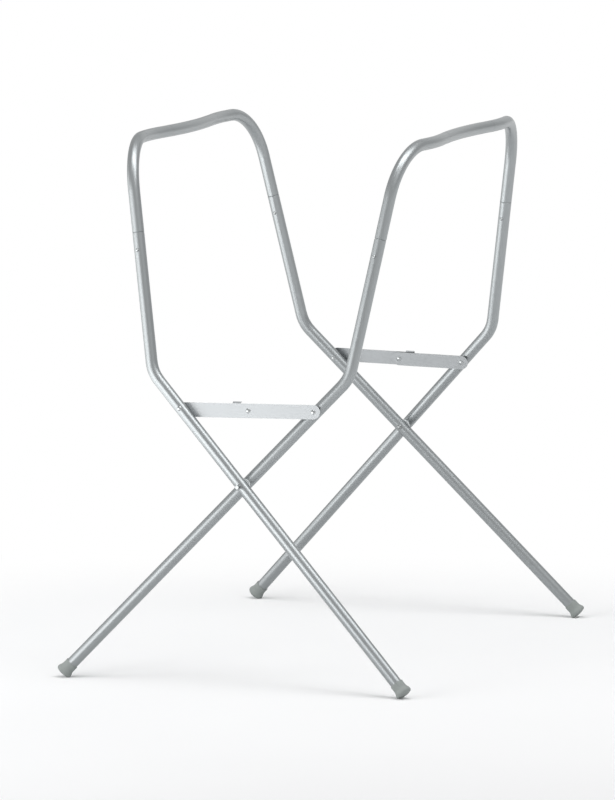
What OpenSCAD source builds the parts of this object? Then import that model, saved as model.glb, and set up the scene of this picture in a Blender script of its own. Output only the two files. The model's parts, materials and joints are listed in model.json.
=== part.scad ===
// Folding baby bath stand: two bent-tube frames crossed like scissors, each a tubular hoop
// plugged onto two bent legs, held open by a folding flat-bar stay at the front and the back.
// X runs along a side to the right, +Y from the front side to the back, Z up from the floor.
// Frame A has its hoop on the left, frame B on the right. Each frame lies outside the other
// at one end and inside it at the other, so half a turn about Z brings the stand to itself.

/* [Stance] */
// Distance between the front and the back crossings
crossing_spread = 790; // [600:5:900]
// Height of the crossings above the floor
crossing_height = 332; // [300:1:360]
// Distance from the middle to where a leg's axis meets the floor
half_stance = 315; // [290:1:330]
// Height at which the leg and arm axes meet
knee_height = 511; // [490:1:530]
// Outward slope of a leg, seen from the end
leg_splay = 7.6; // [5:0.1:10]
// Lean of the arms, seen from the side
arm_lean = 10; // [6:0.5:14]
// Inward slope of the arms, seen from the end
arm_taper = 10.1; // [8:0.1:12]

/* [Tube] */
// Outer diameter of the tube
tube_d = 20; // [18:0.5:22]
// Wall of the tube
tube_wall = 1.2; // [1:0.1:1.5]
// Gap between the two tubes where they cross
tube_gap = 4.5; // [4.3:0.1:6]
// Bend radius of the knee, on the axis
knee_r = 60; // [45:5:80]

/* [Hoop] */
// From the knee to the hoop's corner, along the arm in side view
corner_rise = 383; // [370:1:420]
// Bend radius of the hoop's corners, on the axis
corner_r = 100; // [80:5:105]
// Distance from a corner to the crown of its ear
ear_length = 127; // [124:1:150]
// How far an ear stands out from the line between the corners
ear_out = 16; // [8:1:22]
// Bend radius of the ears, on the axis
ear_r = 340; // [250:10:350]
// How far the middle of the crossbar lies inside the line between the corners
bow_in = 3.6; // [0:0.2:8]
// Bend radius of the crossbar's middle, on the axis
bow_r = 800; // [600:20:900]

/* [Plug joint] */
// From the knee to the seam between leg and hoop, along the arm in side view
seam_rise = 232; // [200:1:250]
// Length of the hoop's reduced end, inside the leg
plug_length = 50; // [45:1:60]
// Radial clearance of the reduced end in the leg
plug_fit = 0.1; // [0.05:0.05:0.2]
// Gap between the ends of leg and hoop at the seam
seam_gap = 0.3; // [0.2:0.1:0.6]
// Chamfer on both ends at the seam
seam_chamfer = 0.6; // [0.3:0.1:0.8]

/* [Snap button] */
// Diameter of the button
button_d = 5.6; // [5:0.1:6]
// Clearance of the button in its holes, on the diameter
button_play = 0.4; // [0.3:0.1:0.6]
// Distance of the button below the seam
button_drop = 30; // [24:1:32]
// How far the button stands proud of the leg
button_proud = 2.4; // [1.8:0.1:2.8]
// Turn of the button about the arm, away from straight ahead
button_turn = 8; // [0:1:15]
// Diameter of the flange that keeps the button in
flange_d = 7; // [6.8:0.1:7.2]
// Thickness of the flange
flange_t = 0.6; // [0.4:0.1:0.8]
// Width of the spring strip
spring_w = 6; // [5:0.5:6.5]
// Thickness of the spring strip
spring_t = 0.5; // [0.4:0.1:0.6]
// Length of the spring from the button to its fold
spring_length = 38; // [34:1:46]

/* [Crossing] */
// Diameter of the pin at a crossing
pin_d = 6; // [5:0.5:7]
// Radial clearance of the pin in its bores
pin_play = 0.05; // [0.03:0.01:0.1]
// Diameter of the pin's heads
pin_head_d = 8.5; // [8:0.5:11]
// Height of the dome on a head
pin_head_h = 1.8; // [1.5:0.1:2.5]
// Diameter of the spacer between the tubes
spacer_d = 20; // [16:1:24]
// Clearance of the spacer between the tubes, in all
spacer_play = 0.2; // [0.1:0.05:0.4]

/* [Stay] */
// Height of the stay's pivots above the floor, on the legs' axes
stay_height = 453; // [447:1:460]
// Width of a stay bar
bar_w = 24; // [20:1:25]
// Thickness of a stay bar
bar_t = 1.2; // [1:0.1:1.3]
// Space between the two bars of a stay
bar_space = 2.7; // [2.6:0.1:3]
// Clearance between a bar and the part it lies against
bar_play = 0.1; // [0.05:0.05:0.2]
// Diameter of the rivets at the ends of the stay
rivet_d = 5; // [4:0.5:6]
// Diameter of the rivet heads
rivet_head_d = 8; // [8:0.5:10]
// Height of the rivet heads
rivet_head_h = 1.8; // [1.2:0.1:2.2]
// Radial clearance of the rivets in their holes
rivet_play = 0.05; // [0.03:0.01:0.1]
// Diameter of the shoulder that holds a bar away from its tube
shoulder_d = 9; // [8:0.5:11]
// Diameter of the rivet in the middle of the stay
mid_rivet_d = 6; // [5:0.5:7]
// How far the middle rivet reaches into the space between the bars
mid_rivet_reach = 0.6; // [0.3:0.1:0.8]
// From the middle rivet to the near edge of the stop tab
tab_start = 13.7; // [12.5:0.1:16]
// Width of the stop tab along the bar
tab_w = 14.2; // [10:0.1:18]
// Height of the stop tab over the other bar
tab_lift = 2; // [1:0.1:3]
// How far the stop tab reaches past the other bar
tab_past = 1.5; // [1:0.1:3]
// Rounding of the tabbed bar's lower corner
tab_corner = 2; // [1:0.5:4]

/* [Foot cap] */
// Diameter of the cap's sleeve
cap_sleeve_d = 22.5; // [22:0.1:25]
// Diameter of the cap where it flares
cap_flare_d = 27.7; // [26:0.1:30]
// Height of the cap along the leg
cap_h = 23; // [20:1:28]
// Height of the flare along the leg
cap_flare_h = 13; // [10:0.5:15]
// Rounding of the cap's lower edge
cap_edge_r = 3.5; // [2:0.5:4]
// Thickness of the cap under the tube
cap_floor = 3.6; // [3:0.1:5]
// Crown of the cap's end
cap_crown = 1.2; // [0.3:0.1:1.5]
// Clearance of the tube in the cap, on the radius
cap_play = 0.1; // [0.05:0.05:0.2]
// Depth of the flat where a cap stands on the floor
foot_flat = 0.6; // [0.3:0.1:0.8]

/* [Hidden] */
$fn = 64;

TUBE_COLOUR = [0.70, 0.72, 0.71];
BAR_COLOUR = [0.82, 0.83, 0.84];
PIN_COLOUR = [0.88, 0.89, 0.90];
CAP_COLOUR = [0.58, 0.61, 0.61];
SPACER_COLOUR = [0.84, 0.85, 0.85];

tube_r = tube_d / 2;
bore_r = tube_r - tube_wall;
plug_r = bore_r - plug_fit;
plug_bore_r = plug_r - tube_wall;
pin_hole_r = pin_d / 2 + pin_play;
rivet_hole_r = rivet_d / 2 + rivet_play;
button_hole_r = (button_d + button_play) / 2;
// A bent tube bulges by this much in its bends
bend_bulge = 0.1;
// Straight runs enter the bends by this much
bend_lap = 0.4;
// Cutting tools run past the faces they cut by this much
past = 1;
// Joined shapes enter each other by this much
lap = 0.05;
// A domed head is struck flat on its crown by this much
crown_flat = 0.03;

// A leg in side view, from its crossing to the floor
leg_run = norm([half_stance, crossing_height]);
leg_up = crossing_height / leg_run;
leg_out = half_stance / leg_run;
splay = tan(leg_splay);
taper = tan(arm_taper);
// The plane of a side leans by the angle between this slope and the upright
side_norm = norm([leg_up, splay]);
// Distance between the two tubes' axes at a crossing, along Y
tube_shift = (tube_d + tube_gap) * side_norm / leg_up;

function unit(v) = v / norm(v);
// sx is -1 for frame A and 1 for frame B, sy is -1 at the front and 1 at the back
function outer(sx, sy) = sx == sy ? 1 : -1;
function crossing(sx, sy) =
    [0, sy * (crossing_spread + outer(sx, sy) * tube_shift) / 2, crossing_height];
// Up the leg, one millimetre in side view
function leg_rise(sx, sy) = [sx * leg_out, -sy * splay, leg_up];
function arm_rise(sx, sy) = [sx * sin(arm_lean), -sy * taper, cos(arm_lean)];
function knee(sx, sy) =
    crossing(sx, sy) + leg_rise(sx, sy) * (knee_height - crossing_height) / leg_up;
function seam(sx, sy) = knee(sx, sy) + arm_rise(sx, sy) * seam_rise;
function corner(sx, sy) = knee(sx, sy) + arm_rise(sx, sy) * corner_rise;
// Square to a side's plane, towards the inside of the stand
function inward(sy) = [0, -sy * leg_up, -splay] / side_norm;
// Where the stay is carried, at one height on all four legs
function stay_pivot(sx, sy) =
    crossing(sx, sy) + leg_rise(sx, sy) * (stay_height - crossing_height) / leg_up;

// The cap's lowest point, at a leg's slope, lies foot_flat below the floor before it is cut
leg_tilt_cos = leg_up / norm([1, splay]);
leg_tilt_sin = sqrt(1 - leg_tilt_cos * leg_tilt_cos);
cap_end = (cap_edge_r * (1 - leg_tilt_cos) - foot_flat
    + (cap_flare_d / 2 - cap_edge_r) * leg_tilt_sin) / leg_tilt_cos;
function floor_point(sx, sy) =
    crossing(sx, sy) - leg_rise(sx, sy) * crossing_height / leg_up;
function cap_point(sx, sy) = floor_point(sx, sy) + unit(leg_rise(sx, sy)) * cap_end;
function tube_foot(sx, sy) =
    cap_point(sx, sy) + unit(leg_rise(sx, sy)) * (cap_floor + cap_play);

// Directions at a button: out of the button, and up the arm
function button_out(sx, sy) =
    let (up = unit(arm_rise(sx, sy)),
         ahead = unit([0, -1, 0] + up * up.y))
    ahead * cos(button_turn) - cross(up, ahead) * sin(button_turn);
function button_point(sx, sy) =
    seam(sx, sy) - unit(arm_rise(sx, sy)) * button_drop;

// Frame with local Z along z and local X as near to x as it can be
module frame(origin, z, x = [0, 1, 0]) {
    w = unit(z);
    u = unit(x - w * (w * x));
    v = cross(w, u);
    multmatrix([
        [u.x, v.x, w.x, origin.x],
        [u.y, v.y, w.y, origin.y],
        [u.z, v.z, w.z, origin.z],
        [0, 0, 0, 1]
    ]) children();
}

module rod(a, b, r) {
    frame(a, b - a) cylinder(h = norm(b - a), r = r);
}

// How far before a point its bend starts
function bend_reach(p, i, radius) =
    let (a = unit(p[i - 1] - p[i]), b = unit(p[i + 1] - p[i]))
    radius / tan(acos(a * b) / 2);

// A round bar of radius r along the points p, with the bend radii radii at its inner points
module bent_rod(p, radii, r) {
    last = len(p) - 1;
    reach = [for (i = [0:last]) i == 0 || i == last ? 0 : bend_reach(p, i, radii[i - 1])];
    for (i = [1:last]) {
        along = unit(p[i] - p[i - 1]);
        rod(p[i - 1] + along * (reach[i - 1] - (i > 1 ? bend_lap : 0)),
            p[i] - along * (reach[i] - (i < last ? bend_lap : 0)), r);
    }
    for (i = [1:last - 1]) {
        a = unit(p[i - 1] - p[i]);
        b = unit(p[i + 1] - p[i]);
        turn = 180 - acos(a * b);
        radius = radii[i - 1];
        centre = p[i] + unit(a + b) * radius / cos(turn / 2);
        out = (p[i] + a * reach[i] - centre) / radius;
        frame(centre, cross(out, -a), out)
            rotate_extrude(angle = turn, $fn = 80 + floor(radius))
                translate([radius, 0]) circle(r = r + bend_bulge);
    }
}

// A round head with a domed top, its base at z = 0
module domed_head(d, rim, dome) {
    ball = (d * d / 4 + dome * dome) / (2 * dome);
    rotate_extrude() intersection() {
        square([d / 2, rim + dome - crown_flat]);
        union() {
            translate([0, rim + dome - ball]) circle(r = ball);
            square([d, rim - lap]);
        }
    }
}

// The chamfered end of a tube, with its face at z = 0 and the tube below. It is a hair
// thinner than the tube it runs into.
module tube_end() {
    r = tube_r - lap / 2;
    rotate_extrude() polygon([
        [0, -tube_r], [r, -tube_r], [r, -seam_chamfer], [r - seam_chamfer, 0], [0, 0]
    ]);
}

module leg(sx, sy) {
    foot = tube_foot(sx, sy);
    up = unit(arm_rise(sx, sy));
    top = seam(sx, sy) - up * seam_gap / 2;
    stay_at = stay_pivot(sx, sy);
    in = inward(sy);
    button = button_point(sx, sy);
    out = button_out(sx, sy);
    color(TUBE_COLOUR) difference() {
        union() {
            bent_rod([foot, knee(sx, sy), top - up * 2 * seam_chamfer], [knee_r], tube_r);
            frame(top, up) tube_end();
        }
        bent_rod([foot - unit(leg_rise(sx, sy)) * past, knee(sx, sy), top + up * past],
            [knee_r], bore_r);
        translate(crossing(sx, sy)) rotate([90, 0, 0])
            cylinder(h = 3 * tube_d, r = pin_hole_r, center = true);
        rod(stay_at - in * tube_d, stay_at + in * tube_d, rivet_hole_r);
        rod(button, button + out * tube_d, button_hole_r);
    }
}

module hoop(sx) {
    ends = [for (sy = [-1, 1]) seam(sx, sy)];
    ups = [for (sy = [-1, 1]) unit(arm_rise(sx, sy))];
    corners = [for (sy = [-1, 1]) corner(sx, sy)];
    along = unit(corners[1] - corners[0]);
    wide = [sx, 0, 0];
    path = [
        ends[0] + ups[0] * (seam_gap / 2 + 2 * seam_chamfer),
        corners[0],
        corners[0] + along * ear_length + wide * ear_out,
        (corners[0] + corners[1]) / 2 - wide * bow_in,
        corners[1] - along * ear_length + wide * ear_out,
        corners[1],
        ends[1] + ups[1] * (seam_gap / 2 + 2 * seam_chamfer)
    ];
    radii = [corner_r, ear_r, bow_r, ear_r, corner_r];
    color(TUBE_COLOUR) difference() {
        union() {
            bent_rod(path, radii, tube_r);
            for (i = [0, 1]) {
                frame(ends[i] + ups[i] * seam_gap / 2, -ups[i]) tube_end();
                rod(ends[i] - ups[i] * plug_length, ends[i] + ups[i] * tube_r / 2, plug_r);
            }
        }
        bent_rod([
                path[0] + ups[0] * tube_wall * 2, path[1], path[2], path[3],
                path[4], path[5], path[6] + ups[1] * tube_wall * 2
            ], radii, bore_r);
        for (i = [0, 1]) {
            rod(ends[i] - ups[i] * (plug_length + past),
                path[6 * i] + ups[i] * tube_wall * 4, plug_bore_r);
            rod(button_point(sx, 2 * i - 1),
                button_point(sx, 2 * i - 1) + button_out(sx, 2 * i - 1) * tube_d,
                button_hole_r);
        }
    }
}

// Half profile of a cap: radius against height along the leg, from its end plane
function cap_profile() = concat(
    [[0, -cap_crown], [cap_flare_d / 8, -cap_crown], [cap_flare_d / 4, -cap_crown * 0.7]],
    [for (a = [-90:15:0]) [
        cap_flare_d / 2 - cap_edge_r + cap_edge_r * cos(a), cap_edge_r + cap_edge_r * sin(a)]],
    [for (k = [1:8]) [
        cap_sleeve_d / 2 + (cap_flare_d - cap_sleeve_d) / 4 * (1 + cos(180 * k / 8)),
        cap_edge_r + (cap_flare_h - cap_edge_r) * k / 8]],
    [[cap_sleeve_d / 2, cap_h - 0.4], [cap_sleeve_d / 2 - 0.4, cap_h], [0, cap_h]]
);

module foot_cap(sx, sy) {
    at = cap_point(sx, sy);
    color(CAP_COLOUR) difference() {
        frame(at, leg_rise(sx, sy)) difference() {
            rotate_extrude() polygon(cap_profile());
            translate([0, 0, cap_floor]) cylinder(h = cap_h, r = tube_r + cap_play);
        }
        translate([at.x, at.y, -cap_h]) cube(2 * cap_h, center = true);
    }
}

// The parts at a crossing are drawn at the front and turned half round for the back
module at_crossing() {
    translate([0, -crossing_spread / 2, crossing_height]) rotate([90, 0, 0]) children();
}

module crossing_pin() {
    // Along the pin from an axis to the tube's side, and on past its slope under a head
    side_r = tube_r / cos(leg_splay);
    rest = side_r + pin_head_d / 2 * splay + bar_play;
    far = tube_shift / 2 + rest;
    color(PIN_COLOUR) union() {
        at_crossing() {
            translate([0, 0, -far - past]) cylinder(h = tube_shift + far + rest, d = pin_d);
            rotate([180, 0, 0]) translate([0, 0, far])
                domed_head(pin_head_d, 0.6, pin_head_h);
        }
        difference() {
            at_crossing() translate([0, 0, tube_shift / 2 + tube_r / 2])
                domed_head(pin_head_d, tube_r / 2 + 1, pin_head_h);
            rod(crossing(-1, -1) - leg_rise(-1, -1) * tube_d,
                crossing(-1, -1) + leg_rise(-1, -1) * tube_d, tube_r + bar_play / 2);
        }
    }
}

module crossing_spacer() {
    thick = tube_gap - spacer_play;
    middle = [0, -crossing_spread / 2, crossing_height];
    color(SPACER_COLOUR) difference() {
        frame(middle - inward(-1) * thick / 2, inward(-1)) {
            cylinder(h = thick - 0.6, d = spacer_d);
            translate([0, 0, thick - 0.6])
                cylinder(h = 0.6, r1 = spacer_d / 2, r2 = pin_d / 2 + 1);
        }
        at_crossing() cylinder(h = 3 * tube_gap, r = pin_hole_r, center = true);
    }
}

// The stay lies in the plane of its side: x along the bars, y up the plane, z outwards.
// It is drawn at the front and turned half round for the back. The outer tube carries the
// inner bar and the inner tube the outer bar, on rivets with a shoulder between them.
axis_z = (tube_d + tube_gap) / 2;
bar_z = (bar_space + bar_t) / 2;
stay_out = -inward(-1);
stay_from = stay_pivot(-1, -1) - stay_out * axis_z;
stay_to = stay_pivot(1, -1) + stay_out * axis_z;
bar_length = norm(stay_to - stay_from) / 2;

module at_stay(x) {
    along = unit(stay_to - stay_from);
    frame(stay_from + along * x, stay_out, along) children();
}

// A flat bar along x, from x = 0 to length, with round ends about both points
module flat_bar(length) {
    translate([0, -bar_w / 2, -bar_t / 2]) cube([length, bar_w, bar_t]);
    for (end = [0, 1])
        translate([end * length, 0, -bar_t / 2])
            rotate([0, 0, end * 180 + 90])
                rotate_extrude(angle = 180) square([bar_w / 2, bar_t]);
}

module bar_holes() {
    cylinder(h = 3 * bar_t, r = rivet_hole_r, center = true);
    translate([bar_length, 0, 0]) cylinder(h = 3 * bar_t, r = mid_rivet_d / 2, center = true);
}

module stay_bar_plain() {
    color(BAR_COLOUR) at_stay(0) translate([0, 0, -bar_z]) difference() {
        flat_bar(bar_length);
        bar_holes();
    }
}

// The tabbed bar runs on past the middle rivet and ends square, in a tab that is bent over
// the plain bar's top edge. It is drawn along x from its pivot, with the tab towards z.
module stay_bar_tabbed() {
    end = bar_length + tab_start + tab_w;
    reach = bar_space + bar_t + tab_past;
    color(BAR_COLOUR) at_stay(2 * bar_length) translate([0, 0, bar_z]) rotate([0, 180, 0])
        difference() {
            union() {
                flat_bar(bar_length);
                translate([bar_w, -bar_w / 2, -bar_t / 2])
                    cube([end - bar_w - tab_corner, bar_w, bar_t]);
                translate([bar_w, -bar_w / 2 + tab_corner, -bar_t / 2])
                    cube([end - bar_w, bar_w - tab_corner, bar_t]);
                translate([end - tab_corner, -bar_w / 2 + tab_corner, -bar_t / 2])
                    cylinder(h = bar_t, r = tab_corner);
                translate([end - tab_w, bar_w / 2, bar_t / 2 + tab_lift]) rotate([0, 90, 0])
                    rotate_extrude(angle = 90)
                        translate([tab_lift, 0]) square([bar_t, tab_w]);
                translate([end - tab_w, bar_w / 2 + tab_lift, bar_t / 2 + tab_lift])
                    cube([tab_w, bar_t, reach - tab_lift]);
            }
            bar_holes();
        }
}

// A rivet through a tube and its bar. A head is formed to the tube's far side, and a
// shoulder between tube and bar. It is drawn with the bar below and the tube above.
module stay_rivet(sx) {
    at = stay_pivot(sx, -1);
    up = leg_rise(sx, -1);
    x = sx < 0 ? 0 : 2 * bar_length;
    flip = sx < 0 ? 0 : 180;
    plate = -bar_z + bar_t / 2;
    base = plate - bar_t - bar_play / 2;
    color(PIN_COLOUR) union() {
        at_stay(x) rotate([flip, 0, 0]) {
            translate([0, 0, base - 0.3])
                cylinder(h = axis_z + tube_r - base + 1.3, d = rivet_d);
            translate([0, 0, base]) rotate([180, 0, 0])
                domed_head(rivet_head_d, 0.4, rivet_head_h - 0.4);
        }
        difference() {
            at_stay(x) rotate([flip, 0, 0]) {
                translate([0, 0, plate + bar_play / 2])
                    cylinder(h = axis_z - plate - tube_r / 2, d = shoulder_d);
                translate([0, 0, axis_z + tube_r / 2])
                    domed_head(rivet_head_d, tube_r / 2 + 0.2, rivet_head_h);
            }
            rod(at - up * tube_d, at + up * tube_d, tube_r + bar_play / 2);
        }
    }
}

// The middle rivet is in two halves: the head is fast in the tabbed bar, the tail in the
// plain bar
module middle_rivet_head() {
    color(PIN_COLOUR) at_stay(bar_length) union() {
        translate([0, 0, bar_z - bar_t / 2 - mid_rivet_reach])
            cylinder(h = bar_t + mid_rivet_reach + 0.5, d = mid_rivet_d);
        translate([0, 0, bar_z + bar_t / 2]) domed_head(rivet_head_d, 0.4, rivet_head_h - 0.4);
    }
}

module middle_rivet_tail() {
    color(PIN_COLOUR) at_stay(bar_length) rotate([180, 0, 0]) union() {
        translate([0, 0, bar_z - bar_t / 2]) cylinder(h = bar_t + 0.5, d = mid_rivet_d);
        translate([0, 0, bar_z + bar_t / 2]) domed_head(rivet_head_d, 0.4, rivet_head_h - 0.4);
    }
}

// Heights along a button, out from the arm's axis
flange_top = sqrt(plug_bore_r * plug_bore_r - flange_d * flange_d / 4) - 0.3;
flange_base = flange_top - flange_t;
button_top = tube_r + button_proud;
spring_face = flange_base - 0.05;
spring_back = sqrt(plug_bore_r * plug_bore_r - spring_w * spring_w / 4) - 0.25;

module at_button(sx, sy) {
    frame(button_point(sx, sy), button_out(sx, sy), arm_rise(sx, sy)) children();
}

module snap_button(sx, sy) {
    dome = button_d / 2 * 0.7;
    color(PIN_COLOUR) at_button(sx, sy) union() {
        translate([0, 0, flange_base]) cylinder(h = flange_t, d = flange_d);
        translate([0, 0, flange_base])
            domed_head(button_d, button_top - flange_base - dome, dome);
    }
}

// One strip folded to a narrow V: a flat pad under the button, and a leg on the far wall.
// x runs up the arm and y out of the button.
function spring_line() =
    let (fold = 1.4, pad = button_d)
    concat(
        [[-pad, spring_face], [pad, spring_face]],
        [for (a = [80:-20:-80]) [
            spring_length - fold + fold * cos(a), fold * sin(a)]],
        [[-pad, -spring_back]]
    );

// Points beside a line, to its right by d, mitred at the corners
function beside(p, d) = [for (i = [0:len(p) - 1])
    let (a = unit(p[max(i, 1)] - p[max(i, 1) - 1]),
         b = unit(p[min(i + 1, len(p) - 1)] - p[min(i + 1, len(p) - 1) - 1]),
         m = unit([a.y, -a.x] + [b.y, -b.x]))
    p[i] + m * d / (m * [a.y, -a.x])];

module snap_spring(sx, sy) {
    line = spring_line();
    back = beside(line, spring_t);
    color(PIN_COLOUR) at_button(sx, sy)
        rotate([90, 0, 0]) translate([0, 0, -spring_w / 2]) linear_extrude(spring_w)
            polygon(concat(line, [for (i = [len(back) - 1:-1:0]) back[i]]));
}

module half_turn() {
    rotate([0, 0, 180]) children();
}

hoop(-1);  // upper_hoop_a
hoop(1);  // upper_hoop_b
leg(-1, -1);  // leg_front_a
leg(-1, 1);  // leg_back_a
leg(1, -1);  // leg_front_b
leg(1, 1);  // leg_back_b
foot_cap(-1, -1);  // foot_cap_front_a
foot_cap(-1, 1);  // foot_cap_back_a
foot_cap(1, -1);  // foot_cap_front_b
foot_cap(1, 1);  // foot_cap_back_b
crossing_pin();  // crossing_pin_front
half_turn() crossing_pin();  // crossing_pin_back
crossing_spacer();  // crossing_spacer_front
half_turn() crossing_spacer();  // crossing_spacer_back
stay_bar_plain();  // stay_bar_front_a
stay_bar_tabbed();  // stay_bar_front_b
half_turn() stay_bar_tabbed();  // stay_bar_back_a
half_turn() stay_bar_plain();  // stay_bar_back_b
stay_rivet(-1);  // stay_rivet_front_a
stay_rivet(1);  // stay_rivet_front_b
half_turn() stay_rivet(1);  // stay_rivet_back_a
half_turn() stay_rivet(-1);  // stay_rivet_back_b
middle_rivet_head();  // middle_rivet_head_front
middle_rivet_tail();  // middle_rivet_tail_front
half_turn() middle_rivet_head();  // middle_rivet_head_back
half_turn() middle_rivet_tail();  // middle_rivet_tail_back
snap_button(-1, -1);  // snap_button_front_a
snap_button(-1, 1);  // snap_button_back_a
snap_button(1, -1);  // snap_button_front_b
snap_button(1, 1);  // snap_button_back_b
snap_spring(-1, -1);  // snap_spring_front_a
snap_spring(-1, 1);  // snap_spring_back_a
snap_spring(1, -1);  // snap_spring_front_b
snap_spring(1, 1);  // snap_spring_back_b
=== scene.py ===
# %% [markdown]
# # Baby bath stand
# The real object is a folding stand of bent steel tube that carries a baby bath.
# Two U-shaped hoops plug into four bent legs, the legs cross in pairs like scissors,
# and a two-bar stay holds each pair open. Every tube, bar, pin and cap is already an
# exact solid in the packed model, so this script leaves those shapes alone. It gives
# them their finish, puts a merged copy in place of each of the four hidden springs, and
# sets up the studio that the stand is looked at in.

import json
import math

import bmesh
import bpy
from mathutils import Matrix, Vector

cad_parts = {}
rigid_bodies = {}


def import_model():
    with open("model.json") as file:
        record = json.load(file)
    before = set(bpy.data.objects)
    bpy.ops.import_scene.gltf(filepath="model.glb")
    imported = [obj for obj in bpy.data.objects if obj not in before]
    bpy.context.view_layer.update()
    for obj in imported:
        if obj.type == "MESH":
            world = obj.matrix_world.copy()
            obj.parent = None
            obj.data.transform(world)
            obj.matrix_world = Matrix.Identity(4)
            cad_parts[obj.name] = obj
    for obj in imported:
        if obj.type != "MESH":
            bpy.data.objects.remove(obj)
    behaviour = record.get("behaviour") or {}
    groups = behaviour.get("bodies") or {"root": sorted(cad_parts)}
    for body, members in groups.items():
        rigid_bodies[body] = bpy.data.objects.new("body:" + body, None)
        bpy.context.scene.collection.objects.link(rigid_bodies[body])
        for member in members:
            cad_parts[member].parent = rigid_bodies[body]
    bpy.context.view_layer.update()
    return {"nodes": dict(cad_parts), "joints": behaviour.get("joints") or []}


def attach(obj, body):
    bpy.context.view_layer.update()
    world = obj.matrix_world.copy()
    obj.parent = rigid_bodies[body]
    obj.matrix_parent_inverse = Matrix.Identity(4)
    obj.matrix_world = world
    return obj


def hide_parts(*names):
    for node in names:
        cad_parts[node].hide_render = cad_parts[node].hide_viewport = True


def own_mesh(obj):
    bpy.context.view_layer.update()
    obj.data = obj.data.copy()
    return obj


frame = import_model()

# %% [markdown]
# ## Camera
# The photograph is taken from well away with a long lens, a little above the hoops'
# middle and 20 degrees round to the stand's right. A long lens keeps the four legs
# nearly parallel. The camera could be aimed with a Track To constraint, but a matrix
# made from azimuth, elevation and roll says exactly where it looks.

# %% The way the camera faces
AZIMUTH, ELEVATION, ROLL = (math.radians(a) for a in (20.3154, 7.384, -0.2232))


def camera_turn(azimuth, elevation, roll):
    """The camera's axes as a rotation: X to the right, Y up, Z back at the viewer."""
    ahead = Vector((-math.sin(azimuth) * math.cos(elevation),
                    math.cos(azimuth) * math.cos(elevation), -math.sin(elevation)))
    right = ahead.cross(Vector((0, 0, 1))).normalized()
    up = right.cross(ahead)
    right, up = (right * math.cos(roll) + up * math.sin(roll),
                 up * math.cos(roll) - right * math.sin(roll))
    return Matrix((right, up, -ahead)).transposed()


facing = camera_turn(AZIMUTH, ELEVATION, ROLL)
print("the camera looks along", [round(-c, 3) for c in facing.col[2]])

# %% The camera
MM = 0.001
EYE = Vector((4616.366, -12560.303, 2159.695)) * MM
LENS_PIXELS, PICTURE_WIDTH = 7917.309, 615
SENSOR_MM = 36
PAST_THE_FLOOR = 60

lens = bpy.data.cameras.new("Long_lens")
lens.sensor_fit = "HORIZONTAL"
lens.sensor_width = SENSOR_MM
lens.lens = LENS_PIXELS * SENSOR_MM / PICTURE_WIDTH
lens.clip_end = PAST_THE_FLOOR
camera = bpy.data.objects.new("Camera", lens)
camera.matrix_world = Matrix.Translation(EYE) @ facing.to_4x4()
bpy.context.scene.collection.objects.link(camera)
bpy.context.scene.camera = camera
print("lens", round(lens.lens, 1), "mm, camera", round(camera.location.length, 2), "m away")

# %% [markdown]
# ## Sums in a material
# A finish is a small drawing of nodes. Placing each Math node by hand hides what is
# being worked out, so a socket is wrapped in a class whose plus, minus, times and less
# than add the Math node. Every other node comes from one method, which sets the node
# up first and then fills its sockets with numbers or with other sockets.

# %% A socket to do sums with
class Wire:
    """One output of a node. A sum with it adds a Math node and gives that one's output."""

    def __init__(self, sheet, socket):
        self.sheet = sheet
        self.socket = socket

    def sum(self, operation, other, swapped=False):
        first, second = (other, self) if swapped else (self, other)
        return self.sheet.add("ShaderNodeMath", {"operation": operation},
                              {0: first, 1: second})

    def __add__(self, other):
        return self.sum("ADD", other)

    def __radd__(self, other):
        return self.sum("ADD", other, True)

    def __sub__(self, other):
        return self.sum("SUBTRACT", other)

    def __rsub__(self, other):
        return self.sum("SUBTRACT", other, True)

    def __mul__(self, other):
        return self.sum("MULTIPLY", other)

    def __rmul__(self, other):
        return self.sum("MULTIPLY", other, True)

    def __lt__(self, other):
        return self.sum("LESS_THAN", other)

    def out(self, name):
        """Another output of the node that this one comes from."""
        return Wire(self.sheet, pick(self.socket.node.outputs, name))


def pick(sockets, key):
    """A socket by its number, its identifier or its name."""
    if isinstance(key, int):
        return sockets[key]
    named = [s for s in sockets if s.identifier == key]
    return (named or [s for s in sockets if s.name == key and s.enabled])[0]


print("a socket can be added, subtracted, multiplied and compared")

# %% A sheet of nodes, and a material's sheet
class Sheet:
    """The nodes of one material or world."""

    def __init__(self, tree):
        self.tree = tree
        tree.nodes.clear()

    def add(self, kind, settings=None, sockets=None):
        """Adds a node, sets it up, fills its sockets, and gives its first output."""
        node = self.tree.nodes.new(kind)
        for name, value in (settings or {}).items():
            setattr(node, name, value)
        for key, value in (sockets or {}).items():
            socket = pick(node.inputs, key)
            if isinstance(value, Wire):
                self.tree.links.new(value.socket, socket)
            else:
                socket.default_value = value
        shown = [s for s in node.outputs if s.enabled]
        return Wire(self, shown[0]) if shown else None

    def blend(self, share, one, other):
        return self.add("ShaderNodeMix", {"data_type": "RGBA"},
                        {"Factor_Float": share, "A_Color": one, "B_Color": other})


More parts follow.
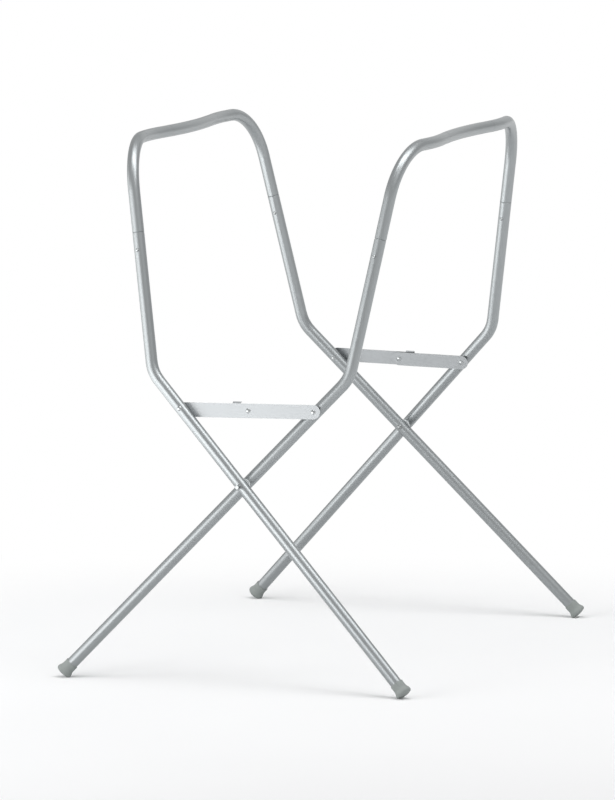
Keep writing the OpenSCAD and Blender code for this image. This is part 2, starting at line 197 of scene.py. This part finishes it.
class Finish(Sheet):
    """A new material. Its patterns are placed in metres on the object."""

    def __init__(self, name):
        self.material = bpy.data.materials.new(name)
        self.material.use_nodes = True
        super().__init__(self.material.node_tree)
        self.place = self.add("ShaderNodeTexCoord").out("Object")

    def noise(self, scale, detail=2.0, rough=0.5, place=None):
        return self.add("ShaderNodeTexNoise", {}, {"Vector": place or self.place,
                        "Scale": scale, "Detail": detail, "Roughness": rough})

    def bump(self, height, depth):
        return self.add("ShaderNodeBump", {},
                        {"Height": height, "Distance": depth, "Strength": 1.0})

    def shows(self, shader):
        self.add("ShaderNodeOutputMaterial", {}, {"Surface": shader})
        return self.material

    def surface(self, **sockets):
        """Joins the shader's sockets: Base_Color stands for Base Color, and so on."""
        named = {k.replace("_", " "): v for k, v in sockets.items()}
        return self.shows(self.add("ShaderNodeBsdfPrincipled", {}, named))


print("a finish has", [name for name in vars(Finish) if not name.startswith("_")])

# %% [markdown]
# ## Floor
# The photograph has a pale floor that runs into pure white, with short soft shadows
# under the feet. A curved paper sweep would do that with light alone, but so much light
# would bleach the tubes too. Here the floor is one wide disc, far wider than the
# picture. Under the stand it is matt paint that takes the shadows, and further away on
# every side it fades to a white that needs no light.

# %% The floor's disc
FLOOR_RADIUS, FLOOR_CORNERS = 40, 96


def new_piece(name, form):
    """A finished bmesh as an object with flat faces, its place kept in its mesh."""
    mesh = bpy.data.meshes.new(name)
    form.to_mesh(mesh)
    form.free()
    for face in mesh.polygons:
        face.use_smooth = False
    piece = bpy.data.objects.new(name, mesh)
    bpy.context.scene.collection.objects.link(piece)
    return piece


disc = bmesh.new()
bmesh.ops.create_circle(disc, cap_ends=True, segments=FLOOR_CORNERS, radius=FLOOR_RADIUS)
floor = new_piece("Studio_floor", disc)
print("floor", len(floor.data.polygons), "face,", FLOOR_RADIUS, "m in radius")

# %% [markdown]
# ## A white that is only seen
# A white background must not light the stand, or its tubes lose their dark bands.
# Light Path tells what a ray is for. The floor's fade and the world are white for the
# rays that show them: straight ones, those through glass, and those that one mirror
# sends on. For all other rays the floor stays paint and the world stays dim.

# %% Which rays see white
WHITE = (1, 1, 1, 1)
PAST_ONE_MIRROR = 1.5


def seen_white(sheet):
    """1 for a ray that shows the background. Ray Depth is 1 after the first mirror."""
    ray = sheet.add("ShaderNodeLightPath")
    mirrored = ray.out("Is Glossy Ray") * (ray.out("Ray Depth") < PAST_ONE_MIRROR)
    return ray.out("Is Camera Ray") + mirrored + ray.out("Is Transmission Ray")


print("a mirrored ray sees white while its depth is below", PAST_ONE_MIRROR)

# %% The floor's paint
PALE_MIDDLE = (0.1, -0.6, 0)
FADE_STARTS, FADE_ENDS = 1.0, 1.7
DARKER_PAINT, PALER_PAINT = (0.83, 0.835, 0.84, 1), (0.945, 0.945, 0.95, 1)
# Painted light: where on the floor the paint turns paler, in front and to the right.
PAINTED_LIGHT_FROM, PAINTED_LIGHT_TO = -0.4, -3.2
SIDE_WEIGHT = 2.0
MOTTLE_SCALE = 1.4

f = Finish("Pale studio floor")
depth = f.add("ShaderNodeSeparateXYZ", {}, {0: f.place}).out("Y")
side = depth.out("X")
away = f.add("ShaderNodeVectorMath", {"operation": "DISTANCE"},
             {0: f.place, 1: PALE_MIDDLE}).out("Value")
far = f.add("ShaderNodeMapRange", {"interpolation_type": "SMOOTHSTEP"},
            {"Value": away, "From Min": FADE_STARTS, "From Max": FADE_ENDS})
# Painted light: the paint is made paler in front on the right, to stand in for the light that
# falls off there.
painted_light = f.add("ShaderNodeMapRange", {},
             {"Value": depth - side * SIDE_WEIGHT, "From Min": PAINTED_LIGHT_FROM, "From Max": PAINTED_LIGHT_TO})
mottle = f.noise(MOTTLE_SCALE)
# The tone mixes a random mottle of the paint with that painted light.
mottle_and_painted_light = f.blend(mottle * 0.3 + painted_light * 0.7, DARKER_PAINT, PALER_PAINT)
paint = f.add("ShaderNodeBsdfDiffuse", {}, {"Color": mottle_and_painted_light, "Roughness": 1.0})
glow = f.add("ShaderNodeEmission", {}, {"Color": WHITE, "Strength": 1.0})
both = f.add("ShaderNodeMixShader", {}, {0: far * seen_white(f), 1: paint, 2: glow})
floor.data.materials.append(f.shows(both))
print("the floor fades to white from", FADE_STARTS, "to", FADE_ENDS, "m away")

# %% The world
DIM_AIR = (0.6, 0.6, 0.6, 1)

world = bpy.data.worlds.new("Studio air")
bpy.context.scene.world = world
world.use_nodes = True
sheet = Sheet(world.node_tree)
air = sheet.blend(seen_white(sheet), DIM_AIR, WHITE)
glow = sheet.add("ShaderNodeBackground", {}, {"Color": air, "Strength": 1.0})
sheet.add("ShaderNodeOutputWorld", {}, {"Surface": glow})
bpy.context.scene.view_settings.view_transform = "Standard"
print("the world lights dimly and is seen as white")

# %% [markdown]
# ## Lamps
# The bands along the tubes show where the photograph's lights are: a tube is a
# mirror that is curved one way, so a band's place across it gives the direction of
# the light. The widest is a wall of light in front on the left, which reaches down to
# the floor. Two squares on the floor stand for the bright floor before the stand.
# The others are one overhead, one high on the right, one at the left end, and two
# faint ones in front on the right and behind. Glowing planes could do it too, but a
# lamp is hidden from the camera in one line. Each is a panel whose strength is given
# as the brightness of its face, where 1 is the white of the background.

# %% A place for a lamp, and a panel of light
STAND_MIDDLE = Vector((0, 0, 0.45))
ABOVE_FLOOR = 0.02


def seen_at(azimuth, elevation, distance):
    """The place in that direction from the stand. Azimuth 0 is in front of it."""
    a, e = math.radians(azimuth), math.radians(elevation)
    return STAND_MIDDLE + distance * Vector((
        math.sin(a) * math.cos(e), -math.cos(a) * math.cos(e), math.sin(e)))


def on_floor(azimuth, distance):
    """The place on the floor in that direction."""
    spot = seen_at(azimuth, 0, distance)
    spot.z = ABOVE_FLOOR
    return spot


def panel(name, place, target, width, height, brightness):
    """A flat lamp whose face is turned to the target."""
    light = bpy.data.lights.new(name, "AREA")
    light.shape = "RECTANGLE"
    light.size = width
    light.size_y = height
    light.energy = brightness * math.pi * width * height
    lamp = bpy.data.objects.new(name, light)
    lamp.location = place
    lamp.rotation_euler = (place - target).to_track_quat("Z", "Y").to_euler()
    lamp.visible_camera = False
    bpy.context.scene.collection.objects.link(lamp)
    return lamp


print("a metre in front of the middle is", [round(c, 2) for c in seen_at(0, 0, 1)])

# %% The lamps
WALL_WIDTH, WALL_HEIGHT, WALL_BRIGHTNESS = 2.6, 1.2, 2.2
UP = Vector((0, 0, 1))

wall = seen_at(azimuth=-36, elevation=3.3, distance=2.6)
level = Vector((0, 0, wall.z))
lamps = [panel("Left_wall_light", wall, level, WALL_WIDTH, WALL_HEIGHT, WALL_BRIGHTNESS)]
for name, azimuth, distance, size, brightness in (
        ("Floor_glow_front", -25, 1.9, 1.0, 3.6),
        ("Floor_glow_left", -66, 1.6, 1.3, 1.6)):
    spot = on_floor(azimuth, distance)
    lamps.append(panel(name, spot, spot + UP, size, size, brightness))
for name, azimuth, elevation, distance, size, brightness in (
        ("High_right_light", 80, 60, 3.2, 1.8, 3.0),
        ("Right_front_light", 50, 40, 3.6, 1.8, 0.4),
        ("Overhead_light", 10, 78, 3.2, 1.6, 3.4),
        ("Left_end_light", -82, 6, 3.6, 1.6, 1.25),
        ("Back_light", 180, 20, 3.6, 2.4, 0.25)):
    lamps.append(panel(name, seen_at(azimuth, elevation, distance), STAND_MIDDLE,
                       size, size, brightness))
print(len(lamps), "lamps,", round(sum(l.data.energy for l in lamps)), "W in all")

# %% [markdown]
# ## Silver enamel on the tubes
# The tubes are steel with a silver enamel: small metal flakes under a thin clear
# film. It mirrors the room softly, is a little rougher in places, and has the faint
# ripple of sprayed paint. A glossy and a diffuse shader could be mixed for it, but
# Principled does it alone with a high Metallic. The flakes are fine Voronoi cells in
# colour and roughness, and the ripple is a low bump. A scale counts cells in a metre.

# %% Silver enamel
FLAKES, RIPPLES, WIDE_CLOUDS = 2600.0, 420.0, 7.0
RIPPLE_DEPTH = 0.01 * MM
SILVER_DULLNESS = 0.31


def grey(level, red=1.0, blue=1.0):
    """A grey whose red and blue are shares of its green."""
    return (level * red, level, level * blue, 1)


def silver_enamel(name, level):
    f = Finish(name)
    flakes = f.add("ShaderNodeTexVoronoi", {}, {"Vector": f.place, "Scale": FLAKES}).out("Color")
    fleck = f.add("ShaderNodeSeparateColor", {}, {0: flakes})
    cloud = f.noise(WIDE_CLOUDS, 3.0)
    base = f.blend(fleck * 0.5 + cloud * 0.5, grey(level * 0.93, 0.94, 1.02),
                   grey(level * 1.07, 0.95, 1.02))
    rough = SILVER_DULLNESS + cloud * 0.06 + fleck * 0.05
    return f.surface(Base_Color=base, Metallic=0.92, Roughness=rough,
                     Normal=f.bump(f.noise(RIPPLES), RIPPLE_DEPTH))


tube_enamel = silver_enamel("Silver enamel on tube", 0.385)
print("tube finish has", len(tube_enamel.node_tree.nodes), "nodes")

# %% [markdown]
# ## Plated strip
# The stays are flat plated strip, rolled along its length, which leaves faint lines
# that run along X. An anisotropic shader could stretch the gloss instead, but a noise
# that is fine across the strip and coarse along it shows the lines themselves.

# %% Plated strip
LINES_ALONG, LINES_ACROSS, STRIP_CLOUDS = 6.0, 900.0, 11.0
LINE_DEPTH = 0.004 * MM
STRIP_DULLNESS = 0.33


def plated_strip(name, level):
    f = Finish(name)
    rolled = f.add("ShaderNodeMapping", {}, {
        "Vector": f.place, "Scale": (LINES_ALONG, LINES_ACROSS, LINES_ACROSS)})
    lines = f.noise(1.0, 3.0, 0.6, rolled)
    cloud = f.noise(STRIP_CLOUDS, 3.0)
    base = f.blend(cloud * 0.6 + lines * 0.4, grey(level * 0.98, 0.955, 1.03),
                   grey(level * 1.02, 0.965, 1.02))
    return f.surface(Base_Color=base, Metallic=0.85, Roughness=STRIP_DULLNESS + lines * 0.06,
                     Normal=f.bump(lines, LINE_DEPTH))


bar_plate = plated_strip("Plated strip", 0.43)
print("strip finish has", len(bar_plate.node_tree.nodes), "nodes")

# %% [markdown]
# ## Steel of rivets, pins and springs
# Rivets and snap buttons are bright plated steel with only a little grain, the
# crossing pins are duller, and the springs are grey. Three materials could be drawn by
# hand. One function with a level and a dullness keeps them the same steel.

# %% Rivet, pin and spring steel
GRAINS, STEEL_CLOUDS = 1500.0, 60.0
GRAIN_DEPTH = 0.008 * MM


def bright_steel(name, level, dull):
    f = Finish(name)
    grain = f.noise(GRAINS)
    base = f.blend(f.noise(STEEL_CLOUDS), grey(level * 0.92, 0.96, 1.01),
                   grey(level * 1.05, 0.96, 1.01))
    return f.surface(Base_Color=base, Metallic=1.0, Roughness=dull + grain * 0.08,
                     Normal=f.bump(grain, GRAIN_DEPTH))


rivet_steel = bright_steel("Bright plated steel", 0.5, 0.18)
pin_steel = bright_steel("Dull plated pin steel", 0.34, 0.2)
spring_steel = bright_steel("Grey spring steel", 0.4, 0.25)
print("steels:", ", ".join(m.name for m in (rivet_steel, pin_steel, spring_steel)))

# %% [markdown]
# ## Moulded plastic
# The foot caps are a matt grey plastic from a spark-eroded mould, which leaves a fine
# even grain. The spacers at the crossings are a smoother pale plastic. Displacement
# could cut the grain into the mesh, but a bump is enough for so shallow a one.

# %% Cap and spacer plastic
SPARKS, PLASTIC_CLOUDS = 1800.0, 40.0
CAP_GRAIN, SPACER_GRAIN = 0.04 * MM, 0.01 * MM
PLASTIC_DULLNESS = 0.55


def moulded_plastic(name, level, red, blue, depth):
    f = Finish(name)
    sparks = f.noise(SPARKS, 3.0, 0.65)
    cloud = f.noise(PLASTIC_CLOUDS)
    base = f.blend(cloud * 0.7 + sparks * 0.3, grey(level * 0.93, red, blue),
                   grey(level * 1.07, red, blue))
    return f.surface(Base_Color=base, Roughness=PLASTIC_DULLNESS + sparks * 0.15,
                     Normal=f.bump(sparks, depth))


cap_plastic = moulded_plastic("Matt grey cap plastic", 0.3, 0.92, 0.97, CAP_GRAIN)
spacer_plastic = moulded_plastic("Pale spacer plastic", 0.8, 0.96, 1.01, SPACER_GRAIN)
print("plastics:", ", ".join(m.name for m in (cap_plastic, spacer_plastic)))

# %% [markdown]
# ## Each solid takes its finish
# The name of a solid starts with what it is, so a short list from that to a finish
# serves all of them. Each could also be given its own line, but a left and a right
# piece could then come to differ.

# %% The finishes go on
FINISHES = {"upper_hoop": tube_enamel, "leg": tube_enamel, "foot_cap": cap_plastic,
            "crossing_pin": pin_steel, "crossing_spacer": spacer_plastic,
            "stay_bar": bar_plate, "stay_rivet": rivet_steel, "middle_rivet": rivet_steel,
            "snap_button": rivet_steel, "snap_spring": spring_steel}

for name, solid in frame["nodes"].items():
    kind = next(k for k in FINISHES if name.startswith(k))
    for slot in solid.material_slots:
        slot.material = FINISHES[kind]
print("finished", len(frame["nodes"]), "solids")

# %% [markdown]
# ## The springs behind the buttons
# Behind each snap button lies a folded strip of spring steel, hidden in the tube. When
# the button is pressed, the strip's front leg goes back with it, and the rear leg
# stays against the tube's wall. A rigid solid can't do that. A merged copy of the
# solid takes its place, rigid as well, on the button's parent body, and the solid is hidden.

# %% The folded springs
SAME_POINT = 0.01 * MM


def folded_spring(place):
    """The spring behind one button. Returns its depth at rest."""
    solid = frame["nodes"]["snap_spring_" + place]
    form = bmesh.new()
    form.from_mesh(solid.data)
    bmesh.ops.remove_doubles(form, verts=form.verts, dist=SAME_POINT)
    spring = new_piece("Folded_spring_" + place, form)
    spring.data.materials.append(spring_steel)
    press = next(j for j in frame["joints"] if j["name"] == f"button_{place}_press")
    inwards = Vector(press["axis"])
    reach = [inwards.dot(v.co) for v in spring.data.vertices]
    depth = max(reach) - min(reach)
    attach(spring, press["parent"])
    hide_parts(solid.name)
    1 - press["range_m"][1] / depth
    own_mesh(spring)
    return depth


for place in ("front_a", "back_a", "front_b", "back_b"):
    print("spring", place, "is", round(folded_spring(place) / MM, 1), "mm deep")

# %% [markdown]
